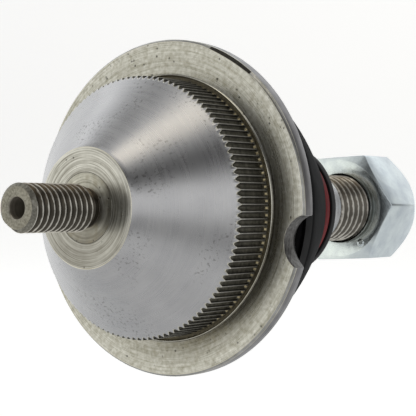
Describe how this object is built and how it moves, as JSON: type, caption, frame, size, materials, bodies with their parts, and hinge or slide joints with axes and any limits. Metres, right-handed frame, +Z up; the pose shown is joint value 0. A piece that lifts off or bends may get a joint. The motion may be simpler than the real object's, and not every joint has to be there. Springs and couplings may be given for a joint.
{
  "type": "ball joint",
  "caption": "Press-in suspension ball joint: serrated conical housing with a notched flange, threaded nose stud, rubber boot and a threaded ball stud with a lock nut.",
  "frame": {"origin": "centre of the flange's seat plane, the face that rests on the arm, on the joint's axis", "axes": "+X along the axis from the nose stud to the ball stud, +Z up with the axis level"},
  "size_m": [0.1114, 0.06, 0.06],
  "materials": {
    "turned_steel": "turned, satin, with dark patches near the serrations",
    "stud_steel": "rolled thread, dark roots, bright crests",
    "spring_steel": "tempered, dark",
    "plain_steel": "pressed, satin",
    "black_steel": "black oxide, satin",
    "acetal": "moulded, natural",
    "boot_rubber": "moulded, satin",
    "red_ring": "moulded, satin",
    "zinc_plate": "bright zinc, pale blue",
    "nylon": "moulded, natural"
  },
  "bodies": {
    "housing": {"housing": "turned_steel", "nose_stud": "stud_steel", "preload_spring": "spring_steel", "thrust_plate": "plain_steel", "upper_seat": "acetal", "closing_ring": "plain_steel", "snap_ring": "spring_steel", "base_ring": "black_steel"},
    "tilt_carrier": {"lower_seat": "acetal", "dust_boot": "boot_rubber"},
    "neck": {"boot_neck": "boot_rubber", "neck_ring": "red_ring", "neck_sleeve": "plain_steel"},
    "stud": {"ball_stud": "stud_steel"},
    "insert_carrier": {"lock_insert": "nylon"},
    "nut": {"hex_nut": "zinc_plate"}
  },
  "joints": [
    {"name": "tilt_direction", "type": "hinge", "parent": "housing", "child": "tilt_carrier", "pos_m": [0.001, 0, 0], "axis": [1, 0, 0], "continuous": true},
    {"name": "stud_tilt", "type": "hinge", "parent": "tilt_carrier", "child": "neck", "pos_m": [0.001, 0, 0], "axis": [0, 1, 0], "range_deg": [-18, 18], "deforming": ["dust_boot"]},
    {"name": "stud_spin", "type": "hinge", "parent": "neck", "child": "stud", "pos_m": [0.001, 0, 0], "axis": [1, 0, 0], "continuous": true},
    {"name": "nut_travel", "type": "slide", "parent": "stud", "child": "insert_carrier", "axis": [1, 0, 0], "range_m": [-0.0081, 0.0121]},
    {"name": "nut_turn", "type": "hinge", "parent": "insert_carrier", "child": "nut", "pos_m": [0.0596, 0, 0], "axis": [1, 0, 0], "range_deg": [-1440, 2160]}
  ],
  "couplings": [
    {"joint": "nut_travel", "follows": "nut_turn", "m_per_rad": 0.00031831}
  ]
}
